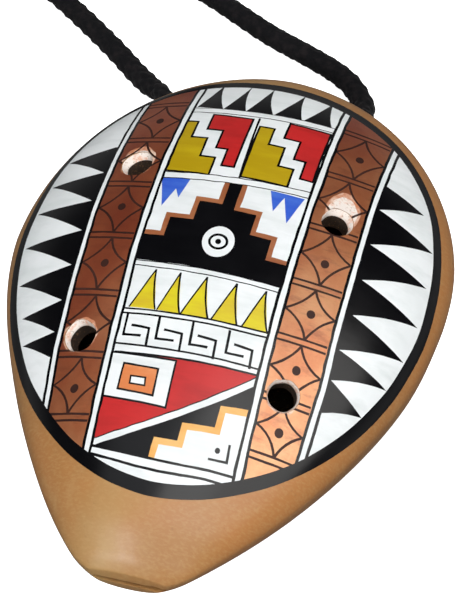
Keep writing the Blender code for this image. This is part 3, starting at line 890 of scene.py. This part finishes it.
def cross_stripe(y_left, y_right, width):
    """A white stripe across the panel between two ink lines, centred on these heights."""
    ends = (PANEL_LEFT, y_left), (PANEL_RIGHT, y_right)
    line(ends, width + INK, "black")
    line(ends, width, "white")


def stepped_tile(x, y):
    """A yellow stair facing a red one, with a white zigzag between them."""
    stair = (
        (x, y), (x + 8.0, y), (x + 8.0, y + 4.0), (x + 5.4, y + 4.0), (x + 5.4, y + 8.4),
        (x + 2.6, y + 8.4), (x + 2.6, y + 12.5), (x, y + 12.5),
    )
    outlined(stair, "yellow")
    hanging = (
        (x + 4.7, y + 14.7), (x + 4.7, y + 10.7), (x + 7.5, y + 10.7), (x + 7.5, y + 6.3),
        (x + 9.5, y + 6.3), (x + 9.5, y + 2.4), (x + 11.7, y + 2.4), (x + 11.7, y + 14.7),
    )
    outlined(hanging, "red")


def pyramid():
    """A black stepped pyramid with a white eye, and blue hanging triangles beside it."""
    left = (
        (-1.7, 16.6), (-1.7, 12.4), (-5.5, 12.4), (-5.5, 8.5), (-9.4, 8.5), (-9.4, 4.7), (-13.2, 4.7)
    )
    right = ((12.8, 3.6), (8.7, 3.6), (8.7, 7.5), (5.1, 7.5), (5.1, 11.6), (1.3, 11.6), (1.3, 17.2))
    area([*left, (-13.0, -0.7), (12.6, -0.9), *right], "black")
    for steps in (left, right):
        line(steps, 0.85, "rust")
    left_fringe = (
        (-12.9, 16.4), (-12.0, 13.5), (-11.1, 10.1), (-9.7, 14.0), (-8.8, 12.1), (-7.9, 16.4)
    )
    right_fringe = ((5.6, 16.8), (7.0, 12.7), (8.2, 16.0), (9.7, 11.0), (11.4, 16.8))
    area(left_fringe, "blue")
    area(right_fringe, "blue")
    x, y = 0.1, 4.6
    dot(x, y, 2.65, "white", steps=28)
    circle = [(x + 1.45 * math.cos(turn), y + 1.35 * math.sin(turn)) for turn in full_turn(24)]
    line(circle, 0.45, closed=True)
    dot(x, y, 0.48)


def yellow_triangles():
    """Row of yellow triangles on a thin line."""
    foot, head = -9.3, -2.2
    for left, right, apex in (
        (-10.9, -6.5, -8.3), (-6.2, -2.4, -4.2), (-2.2, 2.2, 0.2), (2.7, 6.9, 5.1), (7.6, 11.8, 9.9)
    ):
        top = (apex, head)
        area([(left, foot), (right, foot), top], "gold")
        line(((left, foot), top), 0.26)
        line(bowed((right, foot), top, 0.25), 0.30)
    line(((-11.9, -9.6), (12.6, -9.1)), 0.30)


def key_pattern():
    """Four units of a meander drawn as single lines."""
    for x in (-10.7, -5.3, 0.2, 6.1):
        line(((x, -10.3), (x + 0.3, -14.1), (x + 3.2, -14.0)), 0.42)
        line(((x + 1.2, -12.4), (x + 4.2, -12.6), (x + 4.5, -15.7)), 0.42)
    line(((-11.8, -15.7), (12.6, -15.3)), 0.32)


def bottom_row():
    """A framed cell and two red wedges over a diagonal, and white steps under it."""
    diagonal = bowed((-10.5, -31.9), (13.0, -16.6), -1.2)
    area([(-11.4, -17.2), *diagonal, (13.0, -16.4)], "red")
    outlined(((-11.6, -17.2), (-0.8, -17.2), (-0.4, -24.9), (-11.0, -24.4)), "white", 0.34)
    outlined(((-8.9, -18.8), (-3.2, -19.0), (-2.9, -23.4), (-8.8, -23.0)), "orange", 0.32)
    outlined(((-7.2, -20.7), (-4.8, -20.7), (-4.6, -22.0), (-7.1, -21.9)), "white", 0.28)
    area(((13.0, -16.4), (13.2, -32.4), *reversed(PANEL_FOOT), *diagonal), "black")
    white_steps = (
        (-0.5, -32.9), (-0.4, -30.1), (3.3, -29.9), (3.3, -27.0), (8.3, -26.5), (8.3, -23.0),
        (13.2, -22.4),
    )
    area([*white_steps, *reversed(PANEL_FOOT[3:])], "white")
    line(white_steps, 1.0, "ochre")
    line(diagonal, 1.0 + INK, "black")
    line(diagonal, 1.0, "white")
    dot(9.1, -29.3, 0.42)
    line(((10.7, -27.9), (10.9, -30.6), (8.0, -30.9)), 0.40)
    line(((-11.0, -17.1), (12.6, -16.3)), 0.34)


def foot_stripes():
    """The white stripe that closes the panel, and the white sliver under it."""
    area([*PANEL_FOOT, (13.2, -39.5), (-11.0, -39.5)], "white")
    line(PANEL_FOOT, 0.42)
    line(SLIVER_TOP, 0.42)


def long_stripes():
    """The four white stripes that run from head to foot, between their ink lines."""
    for name, width in STRIPE_WIDTHS.items():
        line(STRIPES[name], width + 2 * STRIPE_INK, "black")
        line(STRIPES[name], width, "white")


def draw_face():
    """The whole pattern, from the ground up."""
    side_field(
        "left_outer", -1,
        bases=((1.05, 23.3), (1.05, 17.0), (1.1, 10.6), (1.1, 4.4), (1.1, -2.3), (1.1, -8.7),
               (1.0, -14.2), (1.0, -18.4)),
        tips=((-31.8, 21.0), (-32.8, 15.1), (-33.4, 9.1), (-33.3, 2.1), (-32.0, -5.1),
              (-29.4, -11.2), (-27.8, -15.9)),
    )
    side_field(
        "right_outer", 1,
        bases=((1.0, 25.4), (1.0, 19.7), (1.2, 12.2), (1.45, 5.2), (1.55, -1.4), (0.95, -7.9),
               (0.75, -13.0), (0.7, -18.4)),
        tips=((30.0, 23.0), (32.9, 16.2), (33.4, 9.2), (33.5, 1.9), (32.7, -4.8),
              (31.2, -10.4), (28.6, -16.2)),
    )
    band("left_outer", "left_inner",
         dividers=(35.2, 24.9, 14.3, 3.5, -7.3, -18.0, -28.2), dots=(30.2, 9.3, -1.9, -23.6))
    band("right_inner", "right_outer",
         dividers=(35.0, 23.6, 12.0, 1.0, -9.0, -18.9, -28.1),
         dots=(29.1, 5.6, -3.9, -13.6, -23.8))
    teeth()
    stepped_tile(-13.3, 17.8)
    stepped_tile(0.0, 18.4)
    line(((-0.6, 33.0), (-0.1, 18.0)), INK)
    pyramid()
    yellow_triangles()
    key_pattern()
    bottom_row()
    cross_stripe(33.5, 34.3, 1.1)
    cross_stripe(16.8, 17.9, 1.1)
    cross_stripe(-1.3, -1.4, 0.75)
    line(((-11.9, -10.4), (12.6, -9.9)), 0.32)
    foot_stripes()
    long_stripes()
    shapes.append((ring_outline(True), "black", False))


def inside(points, loop):
    """Which points the closed loop winds round."""
    x, y = points[:, 0], points[:, 1]
    winding = np.zeros(len(points), int)
    for (x0, y0), (x1, y1) in zip(loop, np.roll(loop, -1, axis=0)):
        if y0 == y1:
            continue
        at = x0 + (y - y0) * (x1 - x0) / (y1 - y0)
        crosses = ((y0 > y) != (y1 > y)) & (x < at)
        winding += np.where(crosses, 1 if y1 > y0 else -1, 0)
    return winding != 0


def hole_rim(x, y, diameter, mouth_lean, seed):
    """Outline of the gap in the paint over a finger hole, seen from above."""
    centre, _, side, up = hole_frame(x, y, True)
    centre = centre + (side * mouth_lean[0] + up * mouth_lean[1]) * MM
    rim = []
    for angle in full_turn(64):
        chipped = 0.06 * noise.noise(Vector((math.cos(angle) * 2, math.sin(angle) * 2, seed + 20)))
        reach = mouth_radius(diameter / 2 + 0.36, angle, seed) + chipped
        place = centre / MM + (side * math.cos(angle) + up * math.sin(angle)) * reach
        rim.append((place.x, place.y))
    return rim


def painted_face():
    """The paint as one thin skin on the face, every colour a patch of it."""
    draw_face()
    edge = ring_outline(False)
    rims = [hole_rim(x, y, d, mouth, seed) for seed, (x, y, d, mouth) in enumerate(FINGER_HOLES)]
    corners, edges = [], []
    for loop in [edge, *rims, *(outline for outline, _, _ in shapes)]:
        start, count = len(corners), len(loop)
        corners += [Vector(point) for point in loop]
        edges += [(start + step, start + (step + 1) % count) for step in range(count)]
    grid = [
        Vector((x + 0.5 * (row % 2), y))
        for row, y in enumerate(np.arange(-38, 44, 0.9))
        for x in np.arange(-36, 37, 1.0)
    ]
    points, _, faces, *_ = geometry.delaunay_2d_cdt([*corners, *grid], edges, [], 0, 1e-4, False)
    points, faces = np.array(points), np.array(faces)
    middles = points[faces].mean(axis=1)
    kept = inside(middles, np.array(edge))
    for rim in rims:
        kept &= ~inside(middles, np.array(rim))
    faces, middles = faces[kept], middles[kept]

    names = list(PAINTS)
    colours = np.full(len(faces), names.index("white"))
    for outline, colour, fills_inside in shapes:
        loop = np.array(outline)
        low, high = loop.min(axis=0), loop.max(axis=0)
        near = ((middles > low) & (middles < high)).all(axis=1)
        hit = np.zeros(len(middles), bool)
        hit[near] = inside(middles[near], loop)
        colours[hit if fills_inside else ~hit] = names.index(colour)

    x, y = points.T * MM
    surface = np.stack([x, y, surface_height(x, y)], axis=1)
    normals = surface_normals(surface)
    hand_over(build_skin(surface, normals, faces, colours), "painted_clay")


def build_skin(surface, normals, faces, colours):
    """A skin of paint over the surface points, with its edges turned down into the clay."""
    sides = {}
    for index, (a, b, c) in enumerate(faces):
        for start, end in ((a, b), (b, c), (c, a)):
            if sides.pop((end, start), None) is None:
                sides[(start, end)] = index
    used = np.unique(faces)
    order = np.full(len(surface), -1)
    order[used] = np.arange(len(used))
    top = surface[used] + normals[used] * SKIN
    rim = sorted({corner for pair in sides for corner in pair})
    under = {corner: len(used) + place for place, corner in enumerate(rim)}
    low = surface[rim] - normals[rim] * SKIN
    polygons = [tuple(order[face]) for face in faces]
    paints = list(colours)
    for (start, end), index in sides.items():
        polygons.append((order[start], under[start], under[end], order[end]))
        paints.append(colours[index])
    polygons = [tuple(int(corner) for corner in polygon) for polygon in polygons]
    skin = object_from("painted_skin", [*top, *low], polygons, PAINTS.values())
    skin.data.polygons.foreach_set("material_index", np.array(paints, dtype=np.int32))
    all_normals = [tuple(normal) for normal in [*normals[used], *normals[rim]]]
    skin.data.normals_split_custom_set_from_vertices(all_normals)
    return skin


# --- lugs and cord -------------------------------------------------------------------------

LUG_X, LUG_Z = 15 * MM, 10 * MM
LUG_DROOP = math.radians(20)
LUG_ARCH, LUG_STANDOFF, LUG_LIMB = 4.0 * MM, 1.6 * MM, 1.6 * MM
EYE_REACH = 2.4 * MM  # from the shell to the middle of the lug's eye
BRAID_STRANDS, BRAID_PITCH, BRAID_DEPTH = 5, 15 * MM, 0.32 * MM
CORD_STEP = 0.45 * MM  # between the rings of points that a cord is made of


def lug_frame(side):
    """(root on the shell, direction the lug points, direction up along its roll)."""
    drop = SEAM_Z - LUG_Z
    power = BACK_ROUNDNESS
    width = (LUG_X**power + (drop / BACK_DROP) ** power) ** (1 / power)
    reach = HEAD_Y - WIDEST_Y
    y = WIDEST_Y + reach * math.sqrt(1 - (width / HALF_WIDTH) ** 2)
    root = Vector((side * LUG_X, y, LUG_Z))
    level = Vector((side * LUG_X / HALF_WIDTH**2, (y - WIDEST_Y) / reach**2, 0)).normalized()
    outwards = level * math.cos(LUG_DROOP) - UP * math.sin(LUG_DROOP)
    upwards = level * math.sin(LUG_DROOP) + UP * math.cos(LUG_DROOP)
    return root, outwards, upwards


def cord_lug(name, side):
    """A roll of clay bent into an arch, its ends smeared on to the shell."""
    root, outwards, upwards = lug_frame(side)
    centre = root + outwards * LUG_STANDOFF
    arch = [
        centre + (outwards * math.cos(turn) + upwards * math.sin(turn)) * LUG_ARCH
        for turn in np.linspace(-math.pi / 2, math.pi / 2, 13)
    ]
    foot = outwards * (LUG_STANDOFF + 2.2 * MM)
    path = smooth_path([arch[0] - foot, *arch, arch[-1] - foot], 0.4 * MM)
    along, sides, ups = frames_along(path)
    depth = np.clip((path - np.array(root)) @ np.array(outwards), 0, None)
    rings = []
    for index, point in enumerate(path):
        smear = 0.75 * math.exp(-depth[index] / (1.3 * MM))
        ring = []
        for turn in full_turn(30):
            place = Vector((*(point / MM * 0.35)[:2], turn))
            radius = LUG_LIMB * (1 + smear + 0.05 * noise.noise(place))
            outward = sides[index] * math.cos(turn) + ups[index] * math.sin(turn)
            ring.append(point + outward * radius)
        rings.append(ring)
    hand_over(loft(f"{name}_clay", rings, [CLAY]), "bare_clay", name)


def braided(name, path, girth=1.0):
    """A round braid along path: strands cross over and under each other on its surface."""
    around = 40
    along, sides, ups = frames_along(path)
    run = np.concatenate([[0], np.cumsum(np.linalg.norm(np.diff(path, axis=0), axis=1))])[:, None]
    turn = np.arange(around)[None, :] / around
    first = BRAID_STRANDS * (turn + run / BRAID_PITCH)
    second = BRAID_STRANDS * (turn - run / BRAID_PITCH)
    over = (np.floor(first) + np.floor(second)) % 2 == 0
    across, lengthways = np.where(over, first, second) % 1, np.where(over, second, first) % 1
    relief = np.sin(math.pi * across) ** 0.7 * (0.55 + 0.45 * np.sin(math.pi * lengthways))
    fuzz = 0.02 * MM * np.sin(turn * 2 * math.pi * 7 + run * 9000)
    radius = CORD / 2 + 0.12 * MM - BRAID_DEPTH * (1 - relief) + fuzz
    end = np.minimum(run, run[-1] - run)
    radius *= np.sqrt(np.clip(1 - (1 - np.clip(end / (CORD / 2), 0.02, 1)) ** 2, 0, 1))
    radius *= np.broadcast_to(girth, len(path))[:, None]
    angle = 2 * math.pi * turn
    rings = path[:, None, :] + radius[:, :, None] * (
        sides[:, None, :] * np.cos(angle)[:, :, None] + ups[:, None, :] * np.sin(angle)[:, :, None]
    )
    return loft(name, rings, [YARN])


def on_coil(radius, degrees, z):
    turn = math.radians(degrees)
    return (COIL_CENTRE[0] + radius * math.cos(turn), COIL_CENTRE[1] + radius * math.sin(turn), z)


def winding(radius, stops):
    """Points along coil turns through stops of (degrees travelled clockwise, height)."""
    degrees, heights = zip(*stops)
    travelled = np.arange(degrees[0], degrees[-1] + 1e-6, 12)
    return [
        on_coil(radius, -angle, float(np.interp(angle, degrees, heights))) for angle in travelled
    ]


def strand(node, route, turns):
    """One half of the neck cord, a little plumper where it leaves its lug."""
    points = [Vector(point) * MM for point in [*route, *turns]]
    path = smooth_path(points, CORD_STEP)
    run = np.arange(len(path)) * CORD_STEP / MM
    girth = np.interp(run, (0, 5, 40, 80), (0.95, 1.18, 1.15, 1.0))
    piece = braided(f"{node}_braid", path, girth)
    hand_over(piece, "black_cord", node, "cord_coil")


def cord_tie(name, side, route):
    """The strand's end, led through the lug's eye and stopped by a barrel knot behind it."""
    root, outwards, upwards = lug_frame(side)
    through = outwards.cross(upwards)
    if through.x < 0:
        through = -through
    eye = root + outwards * EYE_REACH
    limb = root + outwards * (LUG_STANDOFF + LUG_ARCH)
    first, second = (Vector(point) * MM for point in route[:2])
    joint = first + (second - first).normalized() * 2.5 * MM
    knot = eye + through * (LUG_LIMB + 1.2 * MM)
    barrel = []
    for step in range(28):
        turn = math.radians(34 * step)
        reach = min(1.0, step / 3, (27 - step) / 3) * BARREL_RADIUS
        out = outwards * math.cos(turn) + upwards * math.sin(turn)
        barrel.append(knot + out * reach + through * (0.28 * MM * step))
    path = smooth_path(
        [joint, first, limb - through * (LUG_LIMB + CORD / 2 + 0.1 * MM),
         eye - through * 3.2 * MM, eye, *barrel, barrel[-1] + through * 2.5 * MM],
        CORD_STEP,
    )
    share = np.linspace(0, 1, len(path))
    tie = braided(f"{name}_braid", path, girth=np.interp(share, (0, 0.15, 0.3), (1, 1, 0.82)))
    hand_over(tie, "black_cord", name)
    return tie


def end_knot():
    """An overhand knot that joins both strands, with two short cut tails."""
    centre = Vector(on_coil((COIL_OUTER + COIL_INNER) / 2, END_KNOT_ANGLE, 0)) * MM
    low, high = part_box("cord_knot")
    centre.z = (low.z + high.z) / 2 + 0.3 * MM
    heading = math.radians(END_KNOT_ANGLE)
    out = Vector((math.cos(heading), math.sin(heading), 0))
    along = UP.cross(out)
    curve = []
    for turn in np.linspace(0.45, 2 * math.pi - 0.45, 30):
        x = math.sin(turn) + 2 * math.sin(2 * turn)
        y = math.cos(turn) - 2 * math.cos(2 * turn)
        z = -math.sin(3 * turn)
        curve.append(centre + along * x * 1.35 * MM + out * y * 1.2 * MM + UP * z * 1.5 * MM)
    first = curve[0] + (curve[0] - curve[1]).normalized() * 6 * MM + UP * 0.5 * MM
    last = curve[-1] + (curve[-1] - curve[-2]).normalized() * 7 * MM + UP * 0.5 * MM
    knot = braided("cord_knot_braid", smooth_path([first, *curve, last], CORD_STEP))
    hand_over(knot, "black_cord", "cord_knot")
    return knot


def cords():
    """Both strands from their ties to the coil behind the ocarina, wound clockwise."""
    first, second = LYING, LYING + COIL_LAYER
    left_turns = winding(
        COIL_OUTER, ((120.6, first), (368, first), (398, second), (710, second), *COIL_END)
    )
    right_turns = winding(
        COIL_INNER, ((85, first), (385, first), (415, second), (710, second), *COIL_END)
    )
    knot = end_knot()
    left_tie = cord_tie("cord_tie_left", -1, LEFT_ROUTE)
    right_tie = cord_tie("cord_tie_right", 1, RIGHT_ROUTE)
    strand("neck_cord_left", LEFT_ROUTE, left_turns)
    strand("neck_cord_right", RIGHT_ROUTE, right_turns)


# --- stage, light and camera ---------------------------------------------------------------

AIM = Vector((0, 7 * MM, SEAM_Z))
# brightness of the room from straight down (0) over the horizon (0.5) to straight up (1)
ROOM = ((0.0, 0.16), (1.0, 0.02), (0.45, 0.14), (0.52, 0.34), (0.60, 0.22), (0.72, 0.02))
CAMERA_AZIMUTH, CAMERA_ELEVATION, CAMERA_ROLL = (math.radians(a) for a in (20.27, 55.04, -5.86))
CAMERA_DISTANCE = 332.6 * MM
LENS, LENS_SHIFT = 117.9, -0.0351  # in mm, and up as a share of the picture's longer side
# name, direction from the object, distance, diameter, power, colour, whether it shines in gloss
LIGHTS = (
    ("softbox", (0.43, -0.20, 0.88), 0.75, 0.85, 3.4, (1.0, 0.98, 0.95), True),
    ("front_fill", (-0.30, -0.72, 0.63), 0.9, 0.18, 2.2, (1.0, 1.0, 1.0), True),
    ("ceiling", (-0.15, -0.22, 0.96), 1.0, 1.0, 1.4, (0.95, 0.97, 1.0), True),
    ("overhead", (0.26, -0.25, 0.93), 1.2, 1.1, 8.4, (0.98, 0.985, 1.0), False),
)


def camera():
    back = Vector((
        math.sin(CAMERA_AZIMUTH) * math.cos(CAMERA_ELEVATION),
        -math.cos(CAMERA_AZIMUTH) * math.cos(CAMERA_ELEVATION),
        math.sin(CAMERA_ELEVATION),
    ))
    level = Vector((math.cos(CAMERA_AZIMUTH), math.sin(CAMERA_AZIMUTH), 0))
    upright = back.cross(level)
    right = level * math.cos(CAMERA_ROLL) + upright * math.sin(CAMERA_ROLL)
    up = upright * math.cos(CAMERA_ROLL) - level * math.sin(CAMERA_ROLL)
    data = bpy.data.cameras.new("camera")
    data.sensor_width = 36
    data.lens = LENS
    data.shift_y = LENS_SHIFT
    obj = bpy.data.objects.new("camera", data)
    bpy.context.scene.collection.objects.link(obj)
    obj.matrix_world = (
        Matrix.Translation(AIM + back * CAMERA_DISTANCE)
        @ Matrix((right, up, back)).transposed().to_4x4()
    )
    bpy.context.scene.camera = obj


def area_light(name, direction, distance, size, power, colour, glossy):
    data = bpy.data.lights.new(name, "AREA")
    data.shape = "DISK"
    data.size, data.energy, data.color = size, power, colour
    obj = bpy.data.objects.new(name, data)
    bpy.context.scene.collection.objects.link(obj)
    direction = Vector(direction).normalized()
    obj.location = AIM + direction * distance
    obj.rotation_mode = "QUATERNION"
    obj.rotation_quaternion = direction.to_track_quat("Z", "Y")
    obj.visible_glossy = glossy


def lights():
    """Soft studio light from above and in front, in a room with a pale band at the horizon."""
    for light in LIGHTS:
        area_light(*light)
    world = bpy.data.worlds.new("studio")
    bpy.context.scene.world = world
    world.use_nodes = True
    tree = world.node_tree
    place = tree.nodes.new("ShaderNodeTexCoord")
    split = tree.nodes.new("ShaderNodeSeparateXYZ")
    height = tree.nodes.new("ShaderNodeMapRange")
    height.inputs["From Min"].default_value = -1
    ramp = tree.nodes.new("ShaderNodeValToRGB")
    points = ramp.color_ramp.elements
    for index, (height_share, level) in enumerate(ROOM):
        point = points[index] if index < 2 else points.new(height_share)
        point.position = height_share
        point.color = (level, level, level, 1)
    tree.links.new(place.outputs["Generated"], split.inputs["Vector"])
    tree.links.new(split.outputs["Z"], height.inputs["Value"])
    tree.links.new(height.outputs["Result"], ramp.inputs["Fac"])
    background = tree.nodes["Background"]
    tree.links.new(ramp.outputs["Color"], background.inputs["Color"])
    background.inputs["Strength"].default_value = 1


def floor():
    """A plain white sweep that is lit evenly, as a light table is, with a painted shadow under the
    vessel where its glow fades out.
    """
    points = [(x, y, 0) for x, y in ((-3, -3), (3, -3), (3, 3), (-3, 3))]
    nodes = Nodes("pale_floor")
    nodes.shader.inputs["Base Color"].default_value = (0.9, 0.9, 0.9, 1)
    nodes.shader.inputs["Roughness"].default_value = 0.9
    nodes.shader.inputs["Specular IOR Level"].default_value = 0.0
    nodes.shader.inputs["Emission Color"].default_value = (1, 1, 1, 1)
    distance = nodes.add("ShaderNodeVectorMath", operation="DISTANCE")
    distance.inputs[1].default_value = (0, WIDEST_Y, 0)
    nodes.join(nodes.place, distance.inputs[0])
    # painted shadow: the floor's glow fades to nothing under the vessel
    glow_with_painted_shadow = nodes.between(distance.outputs["Value"], 0.6 * HALF_WIDTH, 0.95 * HALF_WIDTH)
    nodes.join(glow_with_painted_shadow, nodes.shader.inputs["Emission Strength"])
    sweep = object_from("floor", points, [(0, 1, 2, 3)], [nodes.material])
    sweep.visible_diffuse = False
    sweep.visible_glossy = False


camera()
cords()
cord_lug("cord_lug_left", -1)
cord_lug("cord_lug_right", 1)
clay_pieces()
painted_face()
floor()
lights()
bpy.context.scene.view_settings.view_transform = "Standard"
